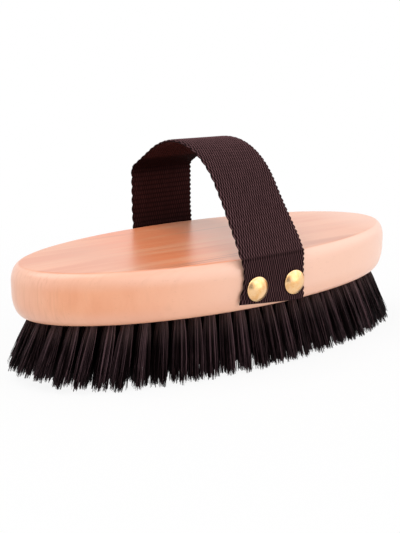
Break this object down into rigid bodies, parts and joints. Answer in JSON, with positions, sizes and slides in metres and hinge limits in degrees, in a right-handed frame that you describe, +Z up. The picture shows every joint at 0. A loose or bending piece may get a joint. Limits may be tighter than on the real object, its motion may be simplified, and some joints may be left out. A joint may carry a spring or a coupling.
{
  "type": "body brush",
  "caption": "Oval hand brush: a rounded wooden back with outward-leaning dark bristle tufts below and a woven webbing hand strap held to both long sides by domed brass nails.",
  "frame": {"origin": "under the middle of the back, on the plane of the bristle tips", "axes": "+X along the back's length, -Y to the near long side, +Z up from the bristle tips to the strap"},
  "size_m": [0.2162, 0.0996, 0.0982],
  "materials": {
    "wood": "pale wood under a thin clear satin lacquer",
    "bristle": "near-black brown filaments with a soft sheen",
    "webbing": "dark brown ribbed webbing, matt",
    "brass": "satin brass"
  },
  "bodies": {
    "brush": {"wooden_back": "wood", "bristles_outer_row": "bristle", "bristles_second_row": "bristle", "bristles_third_row": "bristle", "bristles_middle": "bristle", "strap_end_near": "webbing", "strap_end_far": "webbing", "nail_near_left": "brass", "nail_near_right": "brass", "nail_far_left": "brass", "nail_far_right": "brass"},
    "strap": {"strap_loop": "webbing"}
  },
  "joints": [
    {"name": "strap_sway", "type": "slide", "parent": "brush", "child": "strap", "axis": [0, 1, 0], "range_m": [-0.024, 0.008], "stiffness_N_per_m": 40}
  ]
}
